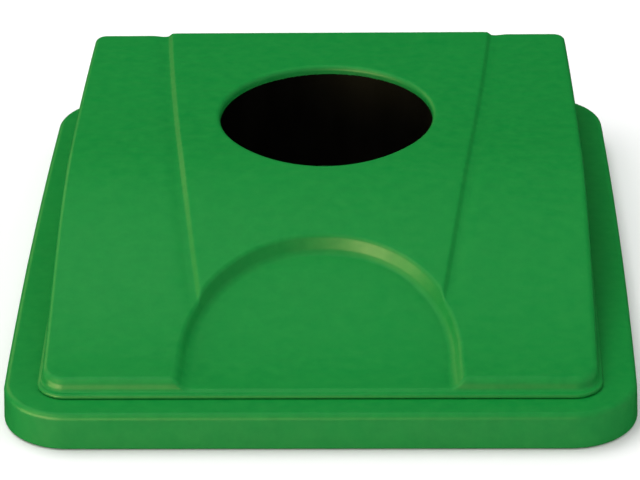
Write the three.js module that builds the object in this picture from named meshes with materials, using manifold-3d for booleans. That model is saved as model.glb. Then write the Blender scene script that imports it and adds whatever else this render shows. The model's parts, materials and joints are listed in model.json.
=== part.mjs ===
// Hinged drop-hole top for a collection bin: a rim frame that sits on the container, and a
// wedge-shaped hood with a round drop hole, a stepped front lip and an arched hand recess.
// Millimetres, +Z up. Depths (y) are counted from the front of the rim, and the group at the
// end moves everything back by half the depth, so the origin is under the middle of the part.
import * as THREE from 'three';
import { mergeVertices } from 'three/addons/utils/BufferGeometryUtils.js';
import Module from 'manifold-3d';

// Rim frame
const WIDTH = 400;
const DEPTH = 440;
const RIM_HEIGHT = 24;
const RIM_WALL = 3;
const RIM_CORNER = 42;
const RIM_ROUNDING = 4;
const SIDE_BOW = 3;
const DECK_THICKNESS = 3;
const THROAT_INSET = 44;
const THROAT_CORNER = 24;
const THROAT_LIP_LOW = 6;
const THROAT_LIP_TOP = 24;

// Hood
const HOOD_WALL = 2.5;
const HOOD_LOW = 24.3;
const HOOD_HALF_WIDTH = 174.5;
const HOOD_FRONT = 22.5;
const HOOD_LIP_FRONT = 27;
const HOOD_REAR = 437;
const HOOD_CORNER = 15;
const HOOD_REAR_CORNER = 8;
const FOOT_STEP = 3;
const FOOT_TOP = 27;
const LIP_HEIGHT = 34;
const TOP_RISE = 43;
const RAMP_START = 20;
const RAMP_END = 260;
const PANEL_RAISE = 2;
const PANEL_FRONT_HALF = 77;
const PANEL_FRONT_Y = 95;
const PANEL_REAR_HALF = 116;

// Arched hand recess in the front of the hood
const ARCH_HALF = 88;
const ARCH_FLARE = 1.6;
const ARCH_START = 52;
const ARCH_APEX = 158;
const ARCH_POWER = 2.1;
const ARCH_DEPTH = 7.4;

// Drop hole and throat collar
const HOLE_Y = 304;
const HOLE_RADIUS = 73.5;
const HOLE_LIP_DEPTH = 6.4;
const COLLAR_TOP = 76;
const COLLAR_LOW = 2;
const COLLAR_RADIUS_TOP = 75;
const COLLAR_RADIUS_LOW = 68;
const COLLAR_WALL = 2.5;
const FLANGE_RADIUS = 90;
const FLANGE_LOW = 63.2;
const FLANGE_TOP = 65.7;
const SCREW_CIRCLE = 83;
const SCREW_COUNT = 6;
const SCREW_HEAD_RADIUS = 3.6;
const SCREW_RADIUS = 1.6;
const SCREW_HOLE_RADIUS = 2;
const SCREW_LENGTH = 9.5;
const BOSS_RADIUS = 4.5;
const BOSS_LOW = 66;

// Hinge at the rear
const HINGE_Y = 428;
const HINGE_Z = 36;
const HINGE_X = 110;
const LUG_WIDTH = 28;
const LUG_RADIUS = 6.5;
const GUSSET_THICKNESS = 4;
const GUSSET_FRONT = 414;
const HINGE_PLAY = 0.6;
const PIN_RADIUS = 2.5;
const PIN_HOLE_RADIUS = 2.85;
const PIN_HEAD_RADIUS = 4.5;
const PIN_HEAD_THICKNESS = 1.8;
const NUT_RADIUS = 5.5;
const NUT_THICKNESS = 1.4;
const NUT_STANDOFF = 0.35;
const REAR_WALL_LOW = 30;
const RELIEF_FRONT = 424;
const WINDOW_TOP = 49;

// Bumper pads between frame and hood
const PAD_X = 163;
const PAD_DEPTHS = [60, 330];
const PAD_RADIUS = 6;
const PAD_TOP = 27.6;
const PAD_STEM_RADIUS = 3;
const PAD_HOLE_RADIUS = 3.3;
const PAD_BULB_RADIUS = 4.2;
const GAP = 0.3;

const wasm = await Module();
wasm.setup();

const greenPlastic = { color: 0x1b8839, roughness: 0.55, metalness: 0 };
const blackPlastic = { color: 0x101010, roughness: 0.5, metalness: 0 };
const steel = { color: 0xb4b7ba, roughness: 0.35, metalness: 1 };
const blackRubber = { color: 0x1a1a1a, roughness: 0.85, metalness: 0 };

function toSolid(geometry) {
  const plain = geometry.index ? geometry.toNonIndexed() : geometry.clone();
  plain.deleteAttribute('normal');
  plain.deleteAttribute('uv');
  const merged = mergeVertices(plain, 1e-4);
  const vertProperties = new Float32Array(merged.attributes.position.array);
  const triVerts = new Uint32Array(merged.index.array);
  return new wasm.Manifold(new wasm.Mesh({ numProp: 3, vertProperties, triVerts }));
}

function toGeometry(solid) {
  const mesh = solid.getMesh();
  const geometry = new THREE.BufferGeometry();
  geometry.setAttribute('position', new THREE.BufferAttribute(mesh.vertProperties, 3));
  geometry.setIndex(new THREE.BufferAttribute(mesh.triVerts, 1));
  geometry.computeVertexNormals();
  return geometry;
}

function named(name, geometry, look) {
  const mesh = new THREE.Mesh(geometry, new THREE.MeshStandardMaterial(look));
  mesh.name = name;
  return mesh;
}

// The sides are very slightly barrel-shaped in plan.
function bow(y) {
  const middle = 200;
  const reach = 220;
  return SIDE_BOW * ((y - middle) / reach) ** 2;
}

// Rounded, slightly bowed rectangle from yFront to yRear.
function planShape(halfWidth, yFront, yRear, frontCorner, rearCorner) {
  const shape = new THREE.Shape();
  const sideSteps = 6;
  const cornerSteps = 6;
  const points = [];
  const corner = (side, yCentre, radius, from) => {
    const xCentre = side * (halfWidth - bow(yCentre) - radius);
    for (let i = 0; i <= cornerSteps; i += 1) {
      const angle = from + (i / cornerSteps) * (Math.PI / 2);
      const x = xCentre + radius * Math.cos(angle);
      points.push(new THREE.Vector2(x, yCentre + radius * Math.sin(angle)));
    }
  };
  const side = (sign, from, to) => {
    for (let i = 1; i < sideSteps; i += 1) {
      const y = from + ((to - from) * i) / sideSteps;
      points.push(new THREE.Vector2(sign * (halfWidth - bow(y)), y));
    }
  };
  corner(-1, yFront + frontCorner, frontCorner, Math.PI);
  corner(1, yFront + frontCorner, frontCorner, -Math.PI / 2);
  side(1, yFront + frontCorner, yRear - rearCorner);
  corner(1, yRear - rearCorner, rearCorner, 0);
  corner(-1, yRear - rearCorner, rearCorner, Math.PI / 2);
  side(-1, yRear - rearCorner, yFront + frontCorner);
  shape.setFromPoints(points);
  return shape;
}

function prism(shape, low, high) {
  const geometry = new THREE.ExtrudeGeometry(shape, { depth: high - low, bevelEnabled: false });
  return toSolid(geometry.translate(0, 0, low));
}

function box(xLow, xHigh, yLow, yHigh, zLow, zHigh) {
  const geometry = new THREE.BoxGeometry(xHigh - xLow, yHigh - yLow, zHigh - zLow);
  const centre = [(xLow + xHigh) / 2, (yLow + yHigh) / 2, (zLow + zHigh) / 2];
  return toSolid(geometry.translate(...centre));
}

function uprightCylinder(x, y, low, high, radius, sides = 20) {
  const geometry = new THREE.CylinderGeometry(radius, radius, high - low, sides);
  return toSolid(geometry.rotateX(Math.PI / 2).translate(x, y, (low + high) / 2));
}

function crossCylinder(xLow, xHigh, radius, sides = 20) {
  const geometry = new THREE.CylinderGeometry(radius, radius, xHigh - xLow, sides);
  return toSolid(geometry.rotateZ(Math.PI / 2).translate((xLow + xHigh) / 2, HINGE_Y, HINGE_Z));
}

// Height of the hood's outer skin: level lip, smooth ramp, level rear deck.
function topHeight(y) {
  const along = THREE.MathUtils.clamp((y - RAMP_START) / (RAMP_END - RAMP_START), 0, 1);
  return LIP_HEIGHT + (TOP_RISE * (1 - Math.cos(Math.PI * along))) / 2;
}

// Side view of the hood, cut to its outline and offset by shift in height, swept across the width.
function sideSolid(shift, frontInset, rearInset) {
  const rampSteps = 14;
  const shape = new THREE.Shape();
  const low = -10;
  const front = HOOD_LIP_FRONT + frontInset;
  const slope = (HOOD_LIP_FRONT - HOOD_FRONT) / (LIP_HEIGHT - HOOD_LOW);
  const footY = front - slope * (topHeight(front) + shift - low);
  shape.moveTo(footY, low);
  shape.lineTo(HOOD_REAR - rearInset, low);
  shape.lineTo(HOOD_REAR - rearInset, topHeight(HOOD_REAR) + shift);
  for (let i = rampSteps; i >= 0; i -= 1) {
    const y = front + ((RAMP_END - front) * i) / rampSteps;
    shape.lineTo(y, topHeight(y) + shift);
  }
  const geometry = new THREE.ExtrudeGeometry(shape, { depth: WIDTH, bevelEnabled: false });
  const turn = new THREE.Matrix4().makeBasis(
    new THREE.Vector3(0, 1, 0),
    new THREE.Vector3(0, 0, 1),
    new THREE.Vector3(1, 0, 0),
  );
  return toSolid(geometry.applyMatrix4(turn).translate(-WIDTH / 2, 0, 0));
}

// Plan of the hand recess: a squarish round arch on two legs that splay a little to the front.
function archPrism(grow) {
  const half = ARCH_HALF + grow;
  const reach = ARCH_APEX - ARCH_START + grow;
  const frontY = HOOD_FRONT - 10;
  const steps = 28;
  const points = [
    new THREE.Vector2(-half - ARCH_FLARE, frontY),
    new THREE.Vector2(half + ARCH_FLARE, frontY),
  ];
  for (let i = 0; i <= steps; i += 1) {
    const angle = (i / steps) * Math.PI;
    const across = Math.abs(Math.cos(angle)) ** (2 / ARCH_POWER);
    const along = Math.sin(angle) ** (2 / ARCH_POWER);
    points.push(new THREE.Vector2(half * Math.sign(Math.cos(angle)) * across, ARCH_START + reach * along));
  }
  const shape = new THREE.Shape(points);
  return toSolid(new THREE.ExtrudeGeometry(shape, { depth: 100, bevelEnabled: false }));
}

function hoodPlan(grow) {
  const front = HOOD_FRONT - grow;
  const rear = HOOD_REAR + Math.min(grow, 0);
  const rearCorner = HOOD_REAR_CORNER + Math.min(grow, 0);
  return planShape(HOOD_HALF_WIDTH + grow, front, rear, HOOD_CORNER + grow, rearCorner);
}

// The raised centre panel widens towards the rear.
function panelPrism(grow) {
  const frontHalf = PANEL_FRONT_HALF + grow;
  const rearHalf = PANEL_REAR_HALF + grow;
  const shape = new THREE.Shape();
  shape.moveTo(-frontHalf, PANEL_FRONT_Y);
  shape.lineTo(frontHalf, PANEL_FRONT_Y);
  shape.lineTo(rearHalf, HOOD_REAR);
  shape.lineTo(-rearHalf, HOOD_REAR);
  return prism(shape, LIP_HEIGHT, 100);
}

// Everything under the hood's top, panel included, lowered by depth.
function underTop(depth, frontInset, rearInset) {
  const panel = panelPrism(-depth).intersect(sideSolid(PANEL_RAISE - depth, frontInset, rearInset));
  return sideSolid(-depth, frontInset, rearInset).add(panel);
}

function hoodShell() {
  const reach = 100;
  const outer = underTop(0, 0, 0).intersect(prism(hoodPlan(0), HOOD_LOW, reach));
  const foot = prism(hoodPlan(FOOT_STEP), HOOD_LOW, FOOT_TOP);
  const recess = archPrism(0).subtract(sideSolid(-ARCH_DEPTH, -8, 0));
  const cavityBlock = archPrism(HOOD_WALL).subtract(sideSolid(-ARCH_DEPTH - HOOD_WALL, -8, 0));
  const cavity = underTop(HOOD_WALL, HOOD_WALL, HOOD_WALL)
    .intersect(prism(hoodPlan(-HOOD_WALL), HOOD_LOW - 1, reach))
    .subtract(cavityBlock);
  return outer.subtract(recess).add(foot).subtract(cavity);
}

function hingePlaces() {
  return [-1, 1].map((side) => {
    const centre = side * HINGE_X;
    return { side, low: centre - LUG_WIDTH / 2, high: centre + LUG_WIDTH / 2 };
  });
}

function padPlaces() {
  return [-1, 1].flatMap((side) => PAD_DEPTHS.map((y) => ({ side, x: side * PAD_X, y })));
}

function screwPlaces() {
  return Array.from({ length: SCREW_COUNT }, (_, i) => {
    const angle = (i / SCREW_COUNT) * Math.PI * 2;
    return { x: SCREW_CIRCLE * Math.cos(angle), y: HOLE_Y + SCREW_CIRCLE * Math.sin(angle) };
  });
}

function makeHood() {
  let solid = hoodShell();
  const midWall = HOOD_WALL / 2;
  const support = underTop(midWall, 0, midWall);
  for (const place of padPlaces()) {
    const post = uprightCylinder(place.x, place.y, PAD_TOP + GAP, 90, PAD_RADIUS);
    solid = solid.add(post.intersect(support));
  }
  for (const place of screwPlaces()) {
    const boss = uprightCylinder(place.x, place.y, BOSS_LOW, 90, BOSS_RADIUS, 16);
    solid = solid.add(boss.intersect(support));
  }
  for (const place of screwPlaces()) {
    const pilot = uprightCylinder(place.x, place.y, BOSS_LOW - 1, BOSS_LOW + 6.5, SCREW_HOLE_RADIUS, 12);
    solid = solid.subtract(pilot);
  }
  for (const { low, high } of hingePlaces()) {
    for (const x of [low - GUSSET_THICKNESS, high]) {
      const gusset = box(x, x + GUSSET_THICKNESS, GUSSET_FRONT, DEPTH, REAR_WALL_LOW, 90);
      solid = solid.add(gusset.intersect(support));
    }
  }
  const relief = box(-WIDTH / 2, WIDTH / 2, RELIEF_FRONT, DEPTH, 0, REAR_WALL_LOW);
  solid = solid.subtract(relief);
  for (const { low, high } of hingePlaces()) {
    solid = solid.subtract(box(low, high, GUSSET_FRONT, DEPTH, 0, WINDOW_TOP));
    const bore = crossCylinder(low - 10, high + 10, PIN_HOLE_RADIUS);
    solid = solid.subtract(bore);
  }
  const lipBlock = uprightCylinder(0, HOLE_Y, BOSS_LOW, 100, HOLE_RADIUS + HOOD_WALL, 64);
  const underLip = sideSolid(PANEL_RAISE - HOLE_LIP_DEPTH, 0, 0);
  solid = solid.add(lipBlock.intersect(support).subtract(underLip));
  const hole = uprightCylinder(0, HOLE_Y, BOSS_LOW, 100, HOLE_RADIUS, 64);
  return named('hood', toGeometry(solid.subtract(hole)), greenPlastic);
}

function rimPlan(inset) {
  const corner = RIM_CORNER - inset;
  return planShape(WIDTH / 2 - inset, inset, DEPTH - inset, corner, corner);
}

function throatPlan(grow) {
  const inset = THROAT_INSET - grow;
  const corner = THROAT_CORNER + grow;
  return planShape(WIDTH / 2 - inset, inset, DEPTH - inset, corner, corner);
}

function roundedRimBlock() {
  const settings = {
    depth: RIM_HEIGHT - RIM_ROUNDING,
    bevelEnabled: true,
    bevelThickness: RIM_ROUNDING,
    bevelSize: RIM_ROUNDING,
    bevelOffset: -RIM_ROUNDING,
    bevelSegments: 3,
  };
  const block = toSolid(new THREE.ExtrudeGeometry(rimPlan(0), settings));
  return block.intersect(box(-WIDTH, WIDTH, -1, DEPTH + 1, 0, RIM_HEIGHT));
}

function hingeLug(low, high) {
  const xLow = low + HINGE_PLAY;
  const xHigh = high - HINGE_PLAY;
  const stand = box(xLow, xHigh, HINGE_Y - LUG_RADIUS, HINGE_Y + LUG_RADIUS, RIM_HEIGHT - 1, HINGE_Z);
  const bore = crossCylinder(low - 1, high + 1, PIN_HOLE_RADIUS);
  return stand.add(crossCylinder(xLow, xHigh, LUG_RADIUS)).subtract(bore);
}

function makeRimFrame() {
  const channelTop = RIM_HEIGHT - DECK_THICKNESS;
  const channel = prism(rimPlan(RIM_WALL), -1, channelTop);
  const lip = prism(throatPlan(RIM_WALL), THROAT_LIP_LOW, THROAT_LIP_TOP);
  let solid = roundedRimBlock().subtract(channel).add(lip).subtract(prism(throatPlan(0), -1, 40));
  for (const { low, high } of hingePlaces()) {
    solid = solid.add(hingeLug(low, high));
  }
  for (const place of padPlaces()) {
    solid = solid.subtract(uprightCylinder(place.x, place.y, 0, 40, PAD_HOLE_RADIUS, 16));
  }
  return named('rim_frame', toGeometry(solid), greenPlastic);
}

// A solid of revolution about Z from a closed list of [radius, height] points.
function turned(profile, sides) {
  const points = profile.map(([radius, height]) => new THREE.Vector2(radius, height));
  return new THREE.LatheGeometry(points, sides).rotateX(Math.PI / 2);
}

// A tapering tube under the drop hole, cut off just below the hole's lip, with a flange for the
// screws. It narrows downwards, which steadies what is dropped in and hides the bin's inside.
function makeThroatCollar() {
  const outerTop = COLLAR_RADIUS_TOP + COLLAR_WALL;
  const outerLow = COLLAR_RADIUS_LOW + COLLAR_WALL;
  const outerAt = (z) => THREE.MathUtils.mapLinear(z, COLLAR_LOW, COLLAR_TOP, outerLow, outerTop);
  const profile = [
    [COLLAR_RADIUS_LOW, COLLAR_LOW],
    [outerLow, COLLAR_LOW],
    [outerAt(FLANGE_LOW), FLANGE_LOW],
    [FLANGE_RADIUS, FLANGE_LOW],
    [FLANGE_RADIUS, FLANGE_TOP],
    [outerAt(FLANGE_TOP), FLANGE_TOP],
    [outerTop, COLLAR_TOP],
    [COLLAR_RADIUS_TOP, COLLAR_TOP],
    [COLLAR_RADIUS_LOW, COLLAR_LOW],
  ];
  let solid = toSolid(turned(profile, 56).translate(0, HOLE_Y, 0));
  solid = solid.intersect(sideSolid(PANEL_RAISE - HOLE_LIP_DEPTH - GAP, 0, 0));
  for (const place of screwPlaces()) {
    solid = solid.subtract(uprightCylinder(place.x, place.y, 50, BOSS_LOW, SCREW_HOLE_RADIUS, 12));
  }
  return named('throat_collar', toGeometry(solid), blackPlastic);
}

function makeCollarScrew(place, index) {
  const headTop = FLANGE_LOW - GAP;
  const headHeight = 2.4;
  const tip = headTop + SCREW_LENGTH;
  const profile = [
    [0, headTop - headHeight],
    [SCREW_HEAD_RADIUS * 0.75, headTop - headHeight],
    [SCREW_HEAD_RADIUS, headTop - headHeight / 2],
    [SCREW_HEAD_RADIUS, headTop],
    [SCREW_RADIUS, headTop],
    [SCREW_RADIUS, tip - 2],
    [0, tip],
  ];
  const mesh = named(`collar_screw_${index + 1}`, turned(profile, 14), steel);
  mesh.position.set(place.x, place.y, 0);
  return mesh;
}

// The pin is pushed in from the middle of the part, with its head inboard and its nut outboard.
function makeHingePin(side, label) {
  const gripHalf = LUG_WIDTH / 2 + GUSSET_THICKNESS + GAP;
  const tail = gripHalf + NUT_THICKNESS + 2;
  const chamfer = 0.8;
  const profile = [
    [0, -gripHalf - PIN_HEAD_THICKNESS],
    [PIN_HEAD_RADIUS - chamfer, -gripHalf - PIN_HEAD_THICKNESS],
    [PIN_HEAD_RADIUS, -gripHalf - PIN_HEAD_THICKNESS + chamfer],
    [PIN_HEAD_RADIUS, -gripHalf],
    [PIN_RADIUS, -gripHalf],
    [PIN_RADIUS, tail - chamfer],
    [PIN_RADIUS - chamfer, tail],
    [0, tail],
  ];
  const mesh = named(`hinge_pin_${label}`, turned(profile, 20), steel);
  mesh.rotation.y = (side * Math.PI) / 2;
  mesh.position.set(side * HINGE_X, HINGE_Y, HINGE_Z);
  return mesh;
}

// Push-on cap washer: a shallow dished ring that grips the pin's tail.
function makePushNut(side, label) {
  const inner = PIN_RADIUS + NUT_STANDOFF;
  const low = LUG_WIDTH / 2 + GUSSET_THICKNESS + GAP;
  const profile = [
    [inner, low + NUT_THICKNESS * 0.5],
    [NUT_RADIUS - 1, low],
    [NUT_RADIUS, low],
    [NUT_RADIUS, low + NUT_THICKNESS * 0.5],
    [inner, low + NUT_THICKNESS],
    [inner, low + NUT_THICKNESS * 0.5],
  ];
  const mesh = named(`hinge_push_nut_${label}`, turned(profile, 20), steel);
  mesh.rotation.y = (side * Math.PI) / 2;
  mesh.position.set(side * HINGE_X, HINGE_Y, HINGE_Z);
  return mesh;
}

function makeBumperPad(place) {
  const deckLow = RIM_HEIGHT - DECK_THICKNESS;
  const profile = [
    [0, deckLow - GAP - 3.5],
    [PAD_BULB_RADIUS * 0.5, deckLow - GAP - 3.2],
    [PAD_BULB_RADIUS, deckLow - GAP],
    [PAD_STEM_RADIUS, deckLow - GAP],
    [PAD_STEM_RADIUS, RIM_HEIGHT + GAP],
    [PAD_RADIUS, RIM_HEIGHT + GAP],
    [PAD_RADIUS, PAD_TOP - 1],
    [PAD_RADIUS - 1, PAD_TOP],
    [0, PAD_TOP],
  ];
  const across = place.side < 0 ? 'left' : 'right';
  const along = place.y < DEPTH / 2 ? 'front' : 'rear';
  const mesh = named(`bumper_pad_${along}_${across}`, turned(profile, 16), blackRubber);
  mesh.position.set(place.x, place.y, 0);
  return mesh;
}

const lid = new THREE.Group();
lid.position.y = -DEPTH / 2;
lid.add(makeRimFrame());
lid.add(makeHood());
lid.add(makeThroatCollar());
lid.add(...screwPlaces().map(makeCollarScrew));
for (const [side, label] of [[-1, 'left'], [1, 'right']]) {
  lid.add(makeHingePin(side, label));
  lid.add(makePushNut(side, label));
}
lid.add(...padPlaces().map(makeBumperPad));

const part = new THREE.Group();
part.add(lid);

export default part;
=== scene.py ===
"""Looks of the hinged drop-hole lid: green moulded rim frame and hood, black throat collar,
zinc-plated hardware and rubber bumper pads, on a plain pale floor.

Every piece is modelled as a distance field: a function that is negative inside the material and
grows by one metre for each metre outside it. The fields are rounded, joined and cut, and the
surface where they are zero becomes the mesh. Metres, +Z up, depth counted from the front."""

import json
import math

import bpy
import numpy as np
import openvdb
from mathutils import Matrix, Vector


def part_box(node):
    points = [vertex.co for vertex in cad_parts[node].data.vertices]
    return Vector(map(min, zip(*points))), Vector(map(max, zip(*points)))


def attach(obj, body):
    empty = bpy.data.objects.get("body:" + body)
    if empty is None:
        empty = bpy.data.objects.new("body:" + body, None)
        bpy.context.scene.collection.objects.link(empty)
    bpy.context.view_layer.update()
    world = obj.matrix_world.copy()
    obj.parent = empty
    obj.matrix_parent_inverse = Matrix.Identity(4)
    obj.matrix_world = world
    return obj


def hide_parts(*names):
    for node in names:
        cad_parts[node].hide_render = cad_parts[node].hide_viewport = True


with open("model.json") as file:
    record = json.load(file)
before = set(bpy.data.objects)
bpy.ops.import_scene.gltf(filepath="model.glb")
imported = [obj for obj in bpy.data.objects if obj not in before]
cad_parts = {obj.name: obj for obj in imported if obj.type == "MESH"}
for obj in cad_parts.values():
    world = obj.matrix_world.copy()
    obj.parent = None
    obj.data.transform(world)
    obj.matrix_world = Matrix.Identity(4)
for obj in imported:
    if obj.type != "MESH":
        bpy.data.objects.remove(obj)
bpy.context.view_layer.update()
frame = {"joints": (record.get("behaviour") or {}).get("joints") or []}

MM = 0.001

# Past the object on any side
FAR = 1.0

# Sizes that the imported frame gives
RIM_LOW, RIM_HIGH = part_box("rim_frame")
HOOD_BOX_LOW, HOOD_BOX_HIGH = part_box("hood")
COLLAR_BOX_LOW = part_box("throat_collar")[0]
HINGE = Vector(frame["joints"][0]["pos_m"])
FRONT = RIM_LOW.y
HALF_WIDTH = RIM_HIGH.x
DEPTH = RIM_HIGH.y - RIM_LOW.y

# Rim frame
RIM_TOP = 24 * MM
RIM_WALL = 3 * MM
RIM_CORNER = 42 * MM
RIM_ROUNDING = 4 * MM
RIM_DRAFT = 0.05
DECK_THICKNESS = 3 * MM
THROAT_INSET = 44 * MM
THROAT_CORNER = 24 * MM
THROAT_LIP_LOW = 6 * MM

# Hood
HOOD_LOW = HOOD_BOX_LOW.z
HOOD_WALL = 2.5 * MM
HOOD_HALF_WIDTH = 174.5 * MM
HOOD_FRONT = 22.5 * MM
HOOD_REAR = HOOD_BOX_HIGH.y - FRONT
HOOD_CORNER = 15 * MM
HOOD_REAR_CORNER = 8 * MM
HOOD_EDGE = 3.5 * MM
HOOD_DRAFT = 0.025
HOOD_WIDTH_LEVEL = 10 * MM
HOOD_REAR_DRAFT = 0.01
LIP_LEAN = 0.48
LIP_HEIGHT = 34 * MM
FOOT_STEP = HOOD_BOX_HIGH.x - HOOD_HALF_WIDTH
FOOT_TOP = 27 * MM
FOOT_ROUNDING = 1.6 * MM
TOP_RISE = 43 * MM
RAMP_START = 20 * MM
RAMP_END = 260 * MM

# Raised centre panel, which narrows towards the front and fades out at the rear edge
PANEL_RAISE = 1.95 * MM
PANEL_FRONT_HALF = 80.2 * MM
PANEL_FRONT_Y = 120 * MM
PANEL_FADE = 40 * MM
PANEL_REAR_HALF = 116 * MM
PANEL_SWELL = 11.3 * MM
PANEL_SLOPE = 3.8 * MM
VALLEY_DEPTH = 0.75 * MM
VALLEY_MIDDLE = 4.5 * MM
VALLEY_REACH = 5 * MM

# Arched hand recess
ARCH_HALF = 88.3 * MM
ARCH_FLARE = 1.6 * MM
ARCH_START = 52 * MM
ARCH_APEX = 158.4 * MM
ARCH_POWER = 2.11
ARCH_FRONT_DEPTH = 5.8 * MM
ARCH_REAR_DEPTH = 8.2 * MM
ARCH_FRONT_SLOPE = 6.2 * MM
ARCH_REAR_SLOPE = 3.0 * MM
ARCH_FILLET = 2.6 * MM
ARCH_EDGE = 1.8 * MM

# Drop hole, collar and its screws
HOLE_Y = 304 * MM
HOLE_RADIUS = 73.2 * MM
HOLE_LIP_DEPTH = 6.4 * MM
HOLE_LIP_WALL = 2.5 * MM
HOLE_ROUNDING = 3.6 * MM
COLLAR_TOP_RADIUS = 75 * MM
COLLAR_LOW_RADIUS = 68 * MM
COLLAR_TOP = 76 * MM
COLLAR_WALL = 2.5 * MM
FLANGE_RADIUS = 90 * MM
FLANGE_LOW = 63.2 * MM
FLANGE_TOP = 65.7 * MM
SCREW_COUNT = 6
SCREW_CIRCLE = 83 * MM
SCREW_HOLE_RADIUS = 2 * MM
SCREW_HOLE_DEPTH = 6.5 * MM
BOSS_RADIUS = 4.5 * MM
BOSS_LOW = 66 * MM
SCREW_GAP = 0.3 * MM
SCREW_HEAD_RADIUS = 3.6 * MM
SCREW_HEAD_HEIGHT = 2.4 * MM
SCREW_DOME_RADIUS = 4 * MM
SCREW_SHANK_RADIUS = 1.6 * MM
SCREW_LENGTH = 9.5 * MM
POINT_SCALE = 0.7
THREAD_DEPTH = 0.22 * MM
THREAD_PITCH = 1.3 * MM
CROSS_HALF_WIDTH = 0.5 * MM
CROSS_HALF_LENGTH = 1.9 * MM
CROSS_FLOOR = 1.1 * MM
CROSS_TAPER = 0.2

# Hinge
HINGE_X = 110 * MM
LUG_WIDTH = 28 * MM
LUG_RADIUS = 6.5 * MM
HINGE_PLAY = 0.6 * MM
GUSSET_THICKNESS = 4 * MM
GUSSET_FRONT = 414 * MM
BORE_RADIUS = 2.85 * MM
REAR_WALL_LOW = 30 * MM
RELIEF_FRONT = 424 * MM
WINDOW_TOP = 49 * MM
HINGE_GRIP = LUG_WIDTH / 2 + GUSSET_THICKNESS + 0.3 * MM
PIN_RADIUS = 2.5 * MM
PIN_HEAD_RADIUS = 4.5 * MM
PIN_HEAD_HEIGHT = 1.8 * MM
PIN_TAIL = 3.4 * MM
PIN_SAMPLED = (-24 * MM, 24 * MM)
NUT_INNER_RADIUS = 2.85 * MM
NUT_OUTER_RADIUS = 5.5 * MM
NUT_FLAT = 1 * MM
NUT_DISH = 0.7 * MM
NUT_SHEET = 0.65 * MM
NUT_SLOT_PAIRS = 3
NUT_SLOT_HALF_WIDTH = 0.35 * MM
NUT_SLOT_REACH = 4.2 * MM
NUT_SAMPLED = (17 * MM, 21 * MM)

# Bumper pads
PAD_X = 163 * MM
PAD_DEPTHS = (60 * MM, 330 * MM)
PAD_RADIUS = 6 * MM
PAD_STEM_RADIUS = 3 * MM
PAD_TIP_RADIUS = 2.1 * MM
PAD_BARB_RADIUS = 4.2 * MM
PAD_HOLE_RADIUS = 3.3 * MM
PAD_GAP = 0.3 * MM
POST_LOW = 27.9 * MM

# Both mouldings' sides bow out by this much between the middle and the ends
SIDE_BOW = 3 * MM
BOW_MIDDLE = 200 * MM
BOW_REACH = 220 * MM

# Sampling steps and triangle limits of the meshes
VOXEL = 1.15 * MM
SMALL_VOXEL = 0.25 * MM
FINE_VOXEL = 0.6 * SMALL_VOXEL
FACE_LIMIT = 190000
COLLAR_FACE_LIMIT = 90000
SCREW_FACE_LIMIT = 12000
HARDWARE_FACE_LIMIT = 9000

# Light and camera
LAMP_DISTANCE = 2.4
DAYLIGHT = (1, 0.97, 0.9)
WARM = (1, 0.83, 0.34)
WORLD_STRENGTH = 0.67
CAMERA_AZIMUTH = 1.65
CAMERA_ELEVATION = 29.0
CAMERA_ROLL = -0.975
CAMERA_DISTANCE = 2.0318
CAMERA_LENS = 172.17
CAMERA_SENSOR = 36
CAMERA_AIM = Vector((-0.0027, -0.0266, 0.04))


# ---- Distance fields ----


def intersect(a, b, radius=0.0):
    """What is in both, with the edge between them rounded."""
    if not radius:
        return np.maximum(a, b)
    over_a = np.maximum(a + radius, 0)
    over_b = np.maximum(b + radius, 0)
    return np.minimum(np.maximum(a, b), -radius) + np.sqrt(over_a**2 + over_b**2)


def join(a, b, radius=0.0):
    """What is in either, with a fillet of that radius between them."""
    return -intersect(-a, -b, radius)


def cut(a, b, radius=0.0):
    """What is in a and not in b."""
    return intersect(a, -b, radius)


def slab(value, low, high):
    """What lies between two parallel planes."""
    return np.maximum(low - value, value - high)


def block(x, y, z, x_range, y_range, z_range, radius=0.0):
    """A box whose edges are rounded."""
    flat = intersect(slab(x, *x_range), slab(y, *y_range), radius)
    return intersect(flat, slab(z, *z_range), radius)


def ring_distance(x, y, centre_x=0.0, centre_y=0.0):
    """Distance from an axis that stands at that centre."""
    return np.sqrt((x - centre_x) ** 2 + (y - centre_y) ** 2)


def upright(x, y, z, centre, radius, low, high, rounding=0.0):
    """A round post."""
    around = ring_distance(x, y, *centre) - radius
    return intersect(around, slab(z, low, high), rounding)


def crossing(y, z, radius):
    """An endless round bar along the hinge axis. Depth y is counted from the front."""
    return ring_distance(y, z, HINGE.y - FRONT, HINGE.z) - radius


def smooth_step(value):
    """Rises softly from nought to one as the value does."""
    t = np.clip(value, 0, 1)
    return t * t * (3 - 2 * t)


def bow(y):
    """How far the barrel-shaped sides pull in at depth y."""
    return SIDE_BOW * ((y - BOW_MIDDLE) / BOW_REACH) ** 2


def plan(x, y, half_width, front, rear, front_corner, rear_corner):
    """A bowed rectangle with round corners, seen from above."""
    side = np.abs(x) - (half_width - bow(y))
    with_front = intersect(side, front - y, front_corner)
    return intersect(with_front, y - rear, rear_corner)


# ---- Hood ----


def ramp_height(y):
    """Height of the hood's top beside the panel: low at the lip, then a soft climb to the rear."""
    along = np.clip((y - RAMP_START) / (RAMP_END - RAMP_START), 0, 1)
    return LIP_HEIGHT + TOP_RISE * (1 - np.cos(np.pi * along)) / 2


def panel_half(y):
    """Half the panel's width at depth y."""
    along = (y - PANEL_FRONT_Y) / (HOOD_REAR - PANEL_FRONT_Y)
    straight = PANEL_FRONT_HALF + (PANEL_REAR_HALF - PANEL_FRONT_HALF) * along
    return straight + PANEL_SWELL * along * (1 - along)


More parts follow.
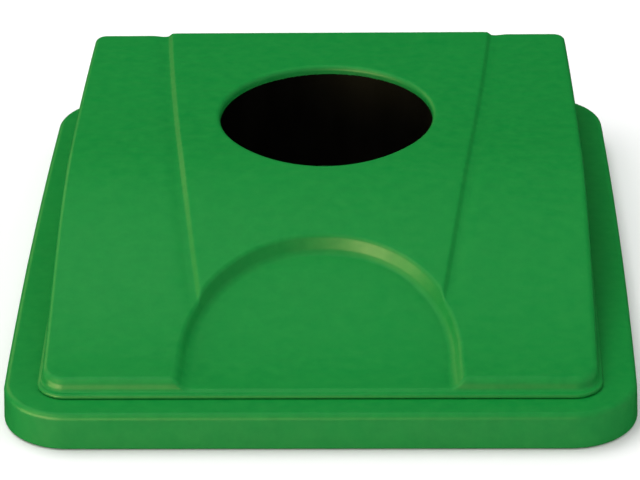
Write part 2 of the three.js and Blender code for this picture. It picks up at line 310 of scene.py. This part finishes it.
def panel_height(x, y):
    """The step up to the panel, with a shallow valley along its foot."""
    outside = np.abs(x) - panel_half(y)
    step = smooth_step(0.5 - outside / PANEL_SLOPE)
    valley = np.exp(-(((outside - VALLEY_MIDDLE) / VALLEY_REACH) ** 2))
    started = smooth_step((y - PANEL_FRONT_Y + PANEL_FADE) / PANEL_FADE)
    return (PANEL_RAISE * step - VALLEY_DEPTH * valley) * started


def hood_top(x, y, z):
    """The top surface. The height over it is divided by the slope, to make it a distance."""
    height = ramp_height(y) + panel_height(x, y)
    steepest = TOP_RISE * np.pi / (2 * (RAMP_END - RAMP_START))
    along = np.clip((y - RAMP_START) / (RAMP_END - RAMP_START), 0, 1)
    lean = steepest * np.sin(np.pi * along)
    return (z - height) / np.sqrt(1 + lean**2)


def arch(x, y):
    """Plan of the hand recess: a squarish round arch on two legs that splay to the front."""
    reach = ARCH_APEX - ARCH_START
    legs = np.abs(x) - ARCH_HALF - ARCH_FLARE * (ARCH_START - y) / (ARCH_START - HOOD_FRONT)
    across = np.abs(x) / ARCH_HALF
    along = np.maximum(y - ARCH_START, 0) / reach
    size = (across**ARCH_POWER + along**ARCH_POWER) ** (1 / ARCH_POWER)
    crown = (size - 1) * (ARCH_HALF + along * (reach - ARCH_HALF))
    return np.where(y > ARCH_START, crown, legs)


def recess(x, y, z):
    """The hollow for the hand. Its wall gets steeper and deeper towards the crown."""
    along = np.clip((y - HOOD_FRONT) / (ARCH_APEX - HOOD_FRONT), 0, 1)
    depth = ARCH_FRONT_DEPTH + (ARCH_REAR_DEPTH - ARCH_FRONT_DEPTH) * along
    slope = ARCH_FRONT_SLOPE + (ARCH_REAR_SLOPE - ARCH_FRONT_SLOPE) * along
    floor = ramp_height(y) - depth
    rise = np.clip((z - floor) / depth, -1, 2) - 1
    side = (arch(x, y) - slope * rise) * depth / np.hypot(depth, slope)
    return intersect(side, floor - z, ARCH_FILLET)


def hood_skin(x, y, z):
    """The hood's outer form, without a bottom."""
    lift = z - HOOD_LOW
    side = np.abs(x) + HOOD_DRAFT * (lift - HOOD_WIDTH_LEVEL) - (HOOD_HALF_WIDTH - bow(y))
    front = (HOOD_FRONT + LIP_LEAN * lift - y) / math.hypot(1, LIP_LEAN)
    rear = y - HOOD_REAR + HOOD_REAR_DRAFT * lift
    outline = intersect(intersect(side, front, HOOD_CORNER), rear, HOOD_REAR_CORNER)
    body = intersect(outline, hood_top(x, y, z), HOOD_EDGE)
    return cut(body, recess(x, y, z), ARCH_EDGE)


def hinge_spans():
    """Where each lug's window in the hood starts and ends across the lid."""
    half = LUG_WIDTH / 2
    return [(side * HINGE_X - half, side * HINGE_X + half) for side in (-1, 1)]


def pad_places():
    return [(side * PAD_X, y) for side in (-1, 1) for y in PAD_DEPTHS]


def screw_places():
    turns = [2 * math.pi * i / SCREW_COUNT for i in range(SCREW_COUNT)]
    return [(SCREW_CIRCLE * math.cos(a), HOLE_Y + SCREW_CIRCLE * math.sin(a)) for a in turns]


def hood_supports(x, y, z, skin):
    """Pad posts, screw bosses and hinge gussets under the skin."""
    solid = np.full(np.broadcast_shapes(x.shape, y.shape, z.shape), FAR)
    for place in pad_places():
        post = upright(x, y, z, place, PAD_RADIUS, POST_LOW, FAR, 0.8 * MM)
        solid = np.minimum(solid, post)
    for place in screw_places():
        boss = upright(x, y, z, place, BOSS_RADIUS, BOSS_LOW, FAR, 0.6 * MM)
        solid = np.minimum(solid, boss)
    for low, high in hinge_spans():
        for start in (low - GUSSET_THICKNESS, high):
            x_range = (start, start + GUSSET_THICKNESS)
            y_range = (GUSSET_FRONT, FAR)
            z_range = (REAR_WALL_LOW, FAR)
            gusset = block(x, y, z, x_range, y_range, z_range, 0.8 * MM)
            solid = np.minimum(solid, gusset)
    return intersect(solid, skin + HOOD_WALL / 2)


def with_hole(x, y, z, solid, skin):
    """The shell with its drop hole, whose edge is rolled over into a short lip."""
    around = ring_distance(x, y, 0, HOLE_Y)
    lip_low = ramp_height(y) + PANEL_RAISE - HOLE_LIP_DEPTH
    lip = intersect(around - HOLE_RADIUS - HOLE_LIP_WALL, lip_low - z, 0.8 * MM)
    lip = intersect(lip, skin + HOOD_WALL / 2)
    rolled = intersect(skin, HOLE_RADIUS - around, HOLE_ROUNDING)
    return intersect(join(solid, lip, 0.8 * MM), rolled)


def hood_foot(x, y, z, skin):
    """The small flange round the bottom of the hood."""
    half_width = HOOD_HALF_WIDTH + FOOT_STEP
    front = HOOD_FRONT - FOOT_STEP
    corner = HOOD_CORNER + FOOT_STEP
    outline = plan(x, y, half_width, front, HOOD_REAR, corner, HOOD_REAR_CORNER)
    foot = intersect(outline, z - FOOT_TOP, FOOT_ROUNDING)
    return cut(foot, skin + HOOD_WALL)


def hood_field(x, y, z):
    skin = hood_skin(x, y, z)
    solid = with_hole(x, y, z, cut(skin, skin + HOOD_WALL), skin)
    solid = join(solid, hood_foot(x, y, z, skin), FOOT_ROUNDING)
    solid = join(solid, hood_supports(x, y, z, skin), 1.2 * MM)
    solid = intersect(solid, HOOD_LOW - z, 0.2 * MM)
    relief = intersect(RELIEF_FRONT - y, z - REAR_WALL_LOW)
    solid = cut(solid, relief, 0.5 * MM)
    for low, high in hinge_spans():
        window = block(x, y, z, (low, high), (GUSSET_FRONT, FAR), (-FAR, WINDOW_TOP), 1 * MM)
        solid = cut(solid, window, 0.5 * MM)
        near = slab(x, low - 10 * MM, high + 10 * MM)
        solid = cut(solid, intersect(crossing(y, z, BORE_RADIUS), near), 0.4 * MM)
    for place in screw_places():
        pilot = upright(x, y, z, place, SCREW_HOLE_RADIUS, 0, BOSS_LOW + SCREW_HOLE_DEPTH)
        solid = cut(solid, pilot, 0.3 * MM)
    return solid


# ---- Rim frame ----


def inset_plan(x, y, inset, corner):
    """The lid's outline, moved in by the inset."""
    return plan(x, y, HALF_WIDTH - inset, inset, DEPTH - inset, corner, corner)


def rim_shell(x, y, z):
    """The skirt, the deck and the lip that hangs round the throat."""
    draft = RIM_DRAFT * z
    outside = inset_plan(x, y, 0, RIM_CORNER) + draft
    inside = inset_plan(x, y, RIM_WALL, RIM_CORNER - RIM_WALL) + draft
    throat = inset_plan(x, y, THROAT_INSET, THROAT_CORNER)
    round_throat = inset_plan(x, y, THROAT_INSET - RIM_WALL, THROAT_CORNER + RIM_WALL)
    outer = intersect(outside, z - RIM_TOP, RIM_ROUNDING)
    channel = intersect(inside, z - RIM_TOP + DECK_THICKNESS, 2 * MM)
    solid = cut(outer, channel, 0.6 * MM)
    lip = intersect(round_throat, THROAT_LIP_LOW - z, 0.8 * MM)
    solid = join(solid, intersect(lip, z - RIM_TOP, 1 * MM), 1 * MM)
    solid = cut(solid, throat, 1 * MM)
    return intersect(solid, -z, 1.1 * MM)


def lug(x, y, z, low, high):
    """A hinge lug that stands on the deck."""
    axis_y = HINGE.y - FRONT
    y_range = (axis_y - LUG_RADIUS, axis_y + LUG_RADIUS)
    stand = intersect(slab(y, *y_range), slab(z, RIM_TOP - 2 * MM, HINGE.z))
    side_view = np.minimum(stand, crossing(y, z, LUG_RADIUS))
    return intersect(side_view, slab(x, low, high), 0.8 * MM)


def rim_field(x, y, z):
    solid = rim_shell(x, y, z)
    for low, high in hinge_spans():
        solid = join(solid, lug(x, y, z, low + HINGE_PLAY, high - HINGE_PLAY), 1.5 * MM)
        bore = intersect(crossing(y, z, BORE_RADIUS), slab(x, low, high))
        solid = cut(solid, bore, 0.4 * MM)
    for place in pad_places():
        solid = cut(solid, upright(x, y, z, place, PAD_HOLE_RADIUS, 0, FAR), 0.3 * MM)
    return solid


# ---- Throat collar ----


def collar_field(x, y, z):
    """A tube that narrows downwards, with a flange for its screws."""
    around = ring_distance(x, y, 0, HOLE_Y)
    low = COLLAR_BOX_LOW.z
    along = (z - low) / (COLLAR_TOP - low)
    inner = COLLAR_LOW_RADIUS + (COLLAR_TOP_RADIUS - COLLAR_LOW_RADIUS) * along
    top = ramp_height(y) + PANEL_RAISE - HOLE_LIP_DEPTH - 0.4 * MM
    tube = intersect(slab(around, inner, inner + COLLAR_WALL), low - z, 0.9 * MM)
    tube = intersect(tube, z - top, 0.6 * MM)
    middle = inner + COLLAR_WALL / 2
    disc = slab(z, FLANGE_LOW, FLANGE_TOP)
    flange = intersect(slab(around, middle, FLANGE_RADIUS), disc, 0.9 * MM)
    solid = join(tube, flange, 1.5 * MM)
    for place in screw_places():
        solid = cut(solid, upright(x, y, z, place, SCREW_HOLE_RADIUS, 0, FAR), 0.3 * MM)
    return solid


# ---- Hardware, each in its own frame with its axis along z ----


def cross_recess(x, y, z):
    """The crossed slots that a screwdriver fits."""
    width = (-CROSS_HALF_WIDTH, CROSS_HALF_WIDTH)
    length = (-CROSS_HALF_LENGTH, CROSS_HALF_LENGTH)
    across = intersect(slab(x, *width), slab(y, *length))
    along = intersect(slab(y, *width), slab(x, *length))
    floor = z + CROSS_FLOOR + CROSS_TAPER * ring_distance(x, y)
    return intersect(np.minimum(across, along), floor)


def screw_field(x, y, z):
    """Pan head at the bottom with a cross recess, threaded shank pointing up."""
    around = ring_distance(x, y)
    dome_centre = SCREW_DOME_RADIUS - SCREW_HEAD_HEIGHT
    dome = np.sqrt(x**2 + y**2 + (z - dome_centre) ** 2) - SCREW_DOME_RADIUS
    disc = slab(z, -SCREW_HEAD_HEIGHT, 0)
    head = intersect(around - SCREW_HEAD_RADIUS, disc, 0.5 * MM)
    head = intersect(head, dome, 0.5 * MM)
    turn = np.arctan2(y, x) - 2 * np.pi * z / THREAD_PITCH
    thread = THREAD_DEPTH * np.cos(turn) * smooth_step(z / MM)
    point = (z - SCREW_LENGTH + around) * POINT_SCALE
    body = intersect(around - SCREW_SHANK_RADIUS - thread, point, 0.2 * MM)
    body = intersect(body, -z - 0.5 * MM)
    return cut(join(head, body, 0.3 * MM), cross_recess(x, y, z), 0.15 * MM)


def pin_field(x, y, z):
    """A headed pin through both gussets and the lug."""
    around = ring_distance(x, y)
    head_range = slab(z, -HINGE_GRIP - PIN_HEAD_HEIGHT, -HINGE_GRIP)
    head = intersect(around - PIN_HEAD_RADIUS, head_range, 0.7 * MM)
    shank = intersect(around - PIN_RADIUS, z - HINGE_GRIP - PIN_TAIL, 0.9 * MM)
    shank = intersect(shank, -HINGE_GRIP - 1 * MM - z)
    return join(head, shank, 0.3 * MM)


def nut_field(x, y, z):
    """Dished push-on ring with six spring teeth round its bore."""
    around = ring_distance(x, y)
    flat_from = NUT_OUTER_RADIUS - NUT_FLAT
    dish = NUT_DISH * np.clip((flat_from - around) / (flat_from - NUT_INNER_RADIUS), 0, 1)
    sheet = slab(z, HINGE_GRIP + dish, HINGE_GRIP + dish + NUT_SHEET)
    ring = intersect(slab(around, NUT_INNER_RADIUS, NUT_OUTER_RADIUS), sheet, 0.2 * MM)
    turn = NUT_SLOT_PAIRS * np.arctan2(y, x)
    slots = np.abs(np.sin(turn)) * around / NUT_SLOT_PAIRS - NUT_SLOT_HALF_WIDTH
    slots = intersect(slots, around - NUT_SLOT_REACH)
    return cut(ring, slots, 0.1 * MM)


def pad_field(x, y, z):
    """Round cap on the deck, stem through it and a barb below it."""
    around = ring_distance(x, y)
    low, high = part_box("bumper_pad_front_left")
    deck_low = RIM_TOP - DECK_THICKNESS
    cap = intersect(around - PAD_RADIUS, slab(z, RIM_TOP + PAD_GAP, high.z), 0.9 * MM)
    stem = intersect(around - PAD_STEM_RADIUS, slab(z, deck_low - 2 * MM, RIM_TOP + 1 * MM))
    barb_top = deck_low - PAD_GAP
    widening = (PAD_BARB_RADIUS - PAD_TIP_RADIUS) * (z - low.z) / (barb_top - low.z)
    barb = intersect(around - PAD_TIP_RADIUS - widening, slab(z, low.z, barb_top), 0.5 * MM)
    return join(join(cap, stem, 0.5 * MM), barb, 0.2 * MM)


# ---- Meshes ----


def axis_samples(low, high, step):
    """Evenly spaced samples that reach three steps past both ends."""
    count = int(math.ceil((high - low) / step)) + 7
    start = (low + high) / 2 - step * (count - 1) / 2
    return start + step * np.arange(count)


def field_gradient(field, points, step):
    """How fast the field grows along each axis, at each point."""
    columns = []
    for axis in range(3):
        ahead = points.copy()
        behind = points.copy()
        ahead[:, axis] += step
        behind[:, axis] -= step
        columns.append(field(*ahead.T) - field(*behind.T))
    return np.stack(columns, axis=1) / (2 * step)


def surface_of(field, low, high, step):
    """Points and quads where the field is zero, moved onto the exact surface."""
    axes = [axis_samples(low[i], high[i], step) for i in range(3)]
    values = field(axes[0][:, None, None], axes[1][None, :, None], axes[2][None, None, :])
    limit = 4 * step
    grid = openvdb.FloatGrid(background=limit)
    grid.copyFromArray(np.clip(values, -limit, limit).astype(np.float32))
    points, quads = grid.convertToQuads(isovalue=0.0)
    points = points.astype(float) * step + np.array([a[0] for a in axes])
    # Two Newton steps, each kept to less than half a sample
    for _ in range(2):
        slope = field_gradient(field, points, 0.1 * step)
        reach = np.maximum((slope**2).sum(1), 0.25)
        move = -field(*points.T) / reach
        points += slope * np.clip(move, -0.4 * step, 0.4 * step)[:, None]
    return points, quads


def mesh_from(name, points, quads):
    """A mesh of those quads."""
    mesh = bpy.data.meshes.new(name)
    mesh.vertices.add(len(points))
    mesh.vertices.foreach_set("co", points.astype(np.float32).ravel())
    mesh.loops.add(quads.size)
    mesh.loops.foreach_set("vertex_index", quads.astype(np.int32).ravel())
    mesh.polygons.add(len(quads))
    mesh.polygons.foreach_set("loop_start", np.arange(0, quads.size, 4, dtype=np.int32))
    mesh.update(calc_edges=True)
    mesh.validate()
    return mesh


def thinned(mesh, faces):
    """The mesh with flat stretches in fewer, larger triangles."""
    triangles = 2 * len(mesh.polygons)
    if triangles <= faces:
        return mesh
    helper = bpy.data.objects.new("thinning", mesh)
    bpy.context.scene.collection.objects.link(helper)
    helper.modifiers.new("thin", "DECIMATE").ratio = faces / triangles
    view = bpy.context.evaluated_depsgraph_get()
    result = bpy.data.meshes.new_from_object(helper.evaluated_get(view))
    bpy.data.objects.remove(helper)
    return result


def field_mesh(name, field, low, high, step, faces):
    """A mesh of the field's zero surface, shaded with the field's own normals."""
    points, quads = surface_of(field, low, high, step)
    mesh = thinned(mesh_from(name, points, quads), faces)
    mesh.name = name
    mesh.polygons.foreach_set("use_smooth", np.ones(len(mesh.polygons), bool))
    corners = np.empty(len(mesh.vertices) * 3, np.float32)
    mesh.vertices.foreach_get("co", corners)
    normals = field_gradient(field, corners.reshape(-1, 3).astype(float), 0.15 * step)
    length = np.sqrt((normals**2).sum(1))
    normals[length < 1e-6] = (0, 0, 1)
    normals /= np.maximum(length, 1e-6)[:, None]
    mesh.normals_split_custom_set_from_vertices(normals.astype(np.float32).tolist())
    return mesh


def moulding(name, node, body, field, material, faces=FACE_LIMIT):
    """A large moulding that replaces a CAD node. Its field counts depth from the front."""
    low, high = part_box(node)
    shift = Vector((0, FRONT, 0))
    mesh = field_mesh(name, field, low - shift, high - shift, VOXEL, faces)
    mesh.transform(Matrix.Translation(shift))
    place_piece(name, mesh, material, body, node)


def place_piece(name, mesh, material, body, node):
    """Puts the piece on its body and in place of its CAD node."""
    piece = bpy.data.objects.new(name, mesh)
    bpy.context.scene.collection.objects.link(piece)
    mesh.materials.clear()
    mesh.materials.append(material)
    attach(piece, body)
    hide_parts(node)


# ---- Materials ----


class Shader:
    """A short way to wire a procedural material."""

    def __init__(self, name):
        self.material = bpy.data.materials.new(name)
        self.material.use_nodes = True
        self.tree = self.material.node_tree
        self.surface = self.tree.nodes["Principled BSDF"]
        self.where = self.node("ShaderNodeTexCoord").outputs["Object"]

    def node(self, kind, **settings):
        made = self.tree.nodes.new(kind)
        for key, value in settings.items():
            setattr(made, key, value)
        return made

    def link(self, output, target):
        self.tree.links.new(output, target)

    def noise(self, scale, detail=2.0, roughness=0.5, stretch=None):
        """Noise with about that many features to the metre."""
        where = self.where
        if stretch:
            mapping = self.node("ShaderNodeMapping")
            mapping.inputs["Scale"].default_value = stretch
            self.link(where, mapping.inputs["Vector"])
            where = mapping.outputs["Vector"]
        noise = self.node("ShaderNodeTexNoise")
        noise.inputs["Scale"].default_value = scale
        noise.inputs["Detail"].default_value = detail
        noise.inputs["Roughness"].default_value = roughness
        self.link(where, noise.inputs["Vector"])
        return noise.outputs["Fac"]

    def spread(self, value, low, high, from_low=0.3, from_high=0.7):
        """The value spread from one range to another."""
        range_node = self.node("ShaderNodeMapRange")
        range_node.inputs["From Min"].default_value = from_low
        range_node.inputs["From Max"].default_value = from_high
        range_node.inputs["To Min"].default_value = low
        range_node.inputs["To Max"].default_value = high
        self.link(value, range_node.inputs["Value"])
        return range_node.outputs["Result"]

    def blend(self, share, first, second):
        """A colour between two colours or colour outputs."""
        mix = self.node("ShaderNodeMix", data_type="RGBA")
        self.link(share, mix.inputs["Factor"])
        for value, target in ((first, mix.inputs["A"]), (second, mix.inputs["B"])):
            if isinstance(value, tuple):
                target.default_value = (*value, 1)
            else:
                self.link(value, target)
        return mix.outputs["Result"]

    def edges(self, low, high):
        """One on sharp outer edges, nought on flat stretches."""
        pointiness = self.node("ShaderNodeNewGeometry").outputs["Pointiness"]
        return self.spread(pointiness, 0, 1, low, high)

    def bump(self, height, strength, distance, under=None):
        bump = self.node("ShaderNodeBump")
        bump.inputs["Strength"].default_value = strength
        bump.inputs["Distance"].default_value = distance
        self.link(height, bump.inputs["Height"])
        if under:
            self.link(under, bump.inputs["Normal"])
        return bump.outputs["Normal"]

    def set(self, **values):
        for key, value in values.items():
            socket = self.surface.inputs[key.replace("_", " ")]
            if isinstance(value, bpy.types.NodeSocket):
                self.link(value, socket)
            else:
                socket.default_value = value


def green_plastic():
    """Satin polypropylene with a fine spark-eroded grain and faint flow mottling."""
    shader = Shader("green_plastic")
    deep = (0.0, 0.208, 0.03)
    middle = (0.0, 0.219, 0.032)
    light = (0.006, 0.242, 0.036)
    rubbed = (0.012, 0.252, 0.04)
    clouds = shader.blend(shader.spread(shader.noise(9, 3), 0, 1), deep, middle)
    base = shader.blend(shader.spread(shader.noise(130, 4, 0.7), 0, 1), clouds, light)
    worn = shader.blend(shader.edges(0.52, 0.6), base, rubbed)
    grain = shader.noise(2600, 2, 0.7)
    scuffs = shader.noise(60, 3, 0.6, (1, 4, 1))
    normal = shader.bump(grain, 0.16, 0.0002)
    shader.set(
        Base_Color=worn,
        Roughness=shader.spread(scuffs, 0.36, 0.44),
        Specular_IOR_Level=0.4,
        Normal=shader.bump(shader.noise(14, 2), 0.05, 0.002, normal),
    )
    return shader.material


def black_plastic():
    """Deep black polypropylene that hardly reflects, with a trace of dust. It is painted darker
    than the plastic's own colour, as painted shade for the dark inside of the drop hole.
    """
    shader = Shader("black_plastic")
    dust = shader.noise(35, 4, 0.65, (1, 1, 0.2))
    # Both colours are near-black, darker than the plastic's own colour: painted shade for the dark
    # inside of the drop hole, with real dust on top
    painted_shade_black = (0.0012, 0.001, 0.0006)
    dusty = (0.0035, 0.003, 0.002)
    base = shader.blend(shader.spread(dust, 0, 1), painted_shade_black, dusty)
    shader.set(
        Base_Color=base,
        Roughness=shader.spread(shader.noise(50, 3), 0.5, 0.65),
        Specular_IOR_Level=0.08,
        Normal=shader.bump(shader.noise(1800, 2), 0.15, 0.0002),
    )
    return shader.material


def zinc_steel():
    """Bright zinc plating with a fine haze."""
    shader = Shader("zinc_steel")
    haze = shader.noise(500, 3, 0.6)
    dull = (0.42, 0.42, 0.4)
    bright = (0.56, 0.57, 0.58)
    base = shader.blend(shader.spread(haze, 0, 1), dull, bright)
    shader.set(
        Base_Color=base,
        Metallic=1.0,
        Roughness=shader.spread(shader.noise(900, 3), 0.28, 0.42),
        Normal=shader.bump(shader.noise(4000, 2), 0.1, 0.0001),
    )
    return shader.material


def black_rubber():
    """Matt rubber with a faint pale bloom."""
    shader = Shader("black_rubber")
    bloom = shader.noise(260, 3, 0.6)
    fresh = (0.012, 0.012, 0.012)
    pale = (0.028, 0.027, 0.026)
    base = shader.blend(shader.spread(bloom, 0, 1), fresh, pale)
    shader.set(
        Base_Color=base,
        Roughness=shader.spread(bloom, 0.7, 0.88),
        Specular_IOR_Level=0.3,
        Normal=shader.bump(shader.noise(2200, 2), 0.25, 0.0002),
    )
    return shader.material


def floor_material():
    shader = Shader("floor_paper")
    tint = shader.spread(shader.noise(3, 2), 0, 1)
    shader.set(
        Base_Color=shader.blend(tint, (0.93, 0.93, 0.93), (0.96, 0.96, 0.96)),
        Roughness=0.9,
        Specular_IOR_Level=0.1,
    )
    return shader.material


# ---- Pieces ----


def build_mouldings():
    green = green_plastic()
    # The collar's near-black material is partly painted shade, standing for the dark inside of the
    # drop hole
    black = black_plastic()
    moulding("rim_frame_shell", "rim_frame", "frame", rim_field, green)
    moulding("hood_shell", "hood", "hood", hood_field, green)
    moulding(
        "throat_collar_shell", "throat_collar", "hood", collar_field, black,
        COLLAR_FACE_LIMIT,
    )


def build_screws(steel):
    low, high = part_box("collar_screw_1")
    head_top = FLANGE_LOW - SCREW_GAP
    half = (high.x - low.x) / 2
    lowest = Vector((-half, -half, low.z - head_top))
    highest = Vector((half, half, high.z - head_top))
    mesh = field_mesh("collar_screw", screw_field, lowest, highest, FINE_VOXEL, SCREW_FACE_LIMIT)
    for i, (x, y) in enumerate(screw_places()):
        copy = mesh.copy()
        copy.transform(Matrix.Translation((x, y + FRONT, head_top)))
        node = f"collar_screw_{i + 1}"
        place_piece(node + "_formed", copy, steel, "hood", node)


def hardware_mesh(name, field, radius, low, high, step):
    """A small round piece whose axis stands along z, from one height to another."""
    lowest = (-radius, -radius, low)
    highest = (radius, radius, high)
    return field_mesh(name, field, lowest, highest, step, HARDWARE_FACE_LIMIT)


def build_hinge_hardware(steel):
    pin = hardware_mesh("pin", pin_field, 5 * MM, *PIN_SAMPLED, SMALL_VOXEL)
    nut = hardware_mesh("nut", nut_field, 6 * MM, *NUT_SAMPLED, FINE_VOXEL)
    for side, label in ((-1, "left"), (1, "right")):
        turn = Matrix.Rotation(side * math.pi / 2, 4, "Y")
        place = Matrix.Translation((side * HINGE_X, HINGE.y, HINGE.z)) @ turn
        for mesh, node in ((pin, f"hinge_pin_{label}"), (nut, f"hinge_push_nut_{label}")):
            copy = mesh.copy()
            copy.transform(place)
            place_piece(node + "_formed", copy, steel, "hood", node)


def build_pads(rubber):
    low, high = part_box("bumper_pad_front_left")
    mesh = hardware_mesh("pad", pad_field, PAD_RADIUS, low.z, high.z, SMALL_VOXEL)
    for x, y in pad_places():
        across = "left" if x < 0 else "right"
        along = "front" if y < DEPTH / 2 else "rear"
        node = f"bumper_pad_{along}_{across}"
        copy = mesh.copy()
        copy.transform(Matrix.Translation((x, y + FRONT, 0)))
        place_piece(node + "_formed", copy, rubber, "frame", node)


# ---- Stage ----


def build_floor():
    half = 6.0
    level = -0.6 * MM
    corners = [(x * half, y * half, level) for x, y in ((-1, -1), (1, -1), (1, 1), (-1, 1))]
    mesh = bpy.data.meshes.new("floor")
    mesh.from_pydata(corners, [], [(0, 1, 2, 3)])
    mesh.materials.append(floor_material())
    floor = bpy.data.objects.new("floor", mesh)
    bpy.context.scene.collection.objects.link(floor)
    floor.visible_glossy = False


def towards(azimuth, elevation):
    """Unit vector from the object. Azimuth 0 is in front, and -90 on the left."""
    turn, rise = math.radians(azimuth), math.radians(elevation)
    flat = math.cos(rise)
    return Vector((math.sin(turn) * flat, -math.cos(turn) * flat, math.sin(rise)))


def add_softbox(name, azimuth, elevation, distance, size, power, colour):
    """A square lamp that looks at the object."""
    lamp = bpy.data.lights.new(name, "AREA")
    lamp.shape = "SQUARE"
    lamp.size = size
    lamp.energy = power
    lamp.color = colour
    light = bpy.data.objects.new(name, lamp)
    bpy.context.scene.collection.objects.link(light)
    back = towards(azimuth, elevation)
    light.location = back * distance
    light.rotation_euler = back.to_track_quat("Z", "Y").to_euler()
    return light


def add_glow(name, azimuth, elevation, distance, size, power, colour=(1, 1, 1)):
    """A lamp that lights the surface and isn't mirrored in it."""
    light = add_softbox(name, azimuth, elevation, distance, size, power, colour)
    light.visible_glossy = False


def add_sheen(name, azimuth, elevation, size, power):
    """A warm lamp that shows only as a gleam."""
    light = add_softbox(name, azimuth, elevation, LAMP_DISTANCE, size, power, WARM)
    light.visible_diffuse = False


def build_light():
    world = bpy.data.worlds.new("studio")
    bpy.context.scene.world = world
    world.use_nodes = True
    background = world.node_tree.nodes["Background"]
    background.inputs["Color"].default_value = (1, 1, 1, 1)
    background.inputs["Strength"].default_value = WORLD_STRENGTH
    world.cycles_visibility.glossy = False
    add_glow("overhead", -118, 68, 2.6, 1.8, 37.5)
    add_glow("fill", 75, 24, 2.6, 1.6, 8)
    add_glow("key", -40, 4, 2.4, 0.8, 27, DAYLIGHT)
    add_sheen("sheen_front", -14, 9, 0.9, 10)
    add_sheen("sheen_corner", -38, 10, 0.9, 36)
    add_sheen("sheen_low", -68, 4, 1.0, 26)
    add_sheen("sheen_high", -60, 52, 1.0, 11)
    add_sheen("sheen_rear", -135, 24, 1.2, 6)
    bpy.context.scene.view_settings.view_transform = "Standard"


def build_camera():
    data = bpy.data.cameras.new("camera")
    data.lens = CAMERA_LENS
    data.sensor_width = CAMERA_SENSOR
    camera = bpy.data.objects.new("camera", data)
    bpy.context.scene.collection.objects.link(camera)
    back = towards(CAMERA_AZIMUTH, CAMERA_ELEVATION)
    camera.location = CAMERA_AIM + back * CAMERA_DISTANCE
    turn = back.to_track_quat("Z", "Y").to_matrix().to_4x4()
    roll = Matrix.Rotation(math.radians(CAMERA_ROLL), 4, "Z")
    camera.rotation_euler = (turn @ roll).to_euler()
    bpy.context.scene.camera = camera


build_camera()
build_floor()
build_light()
build_mouldings()
STEEL = zinc_steel()
build_screws(STEEL)
build_hinge_hardware(STEEL)
build_pads(black_rubber())
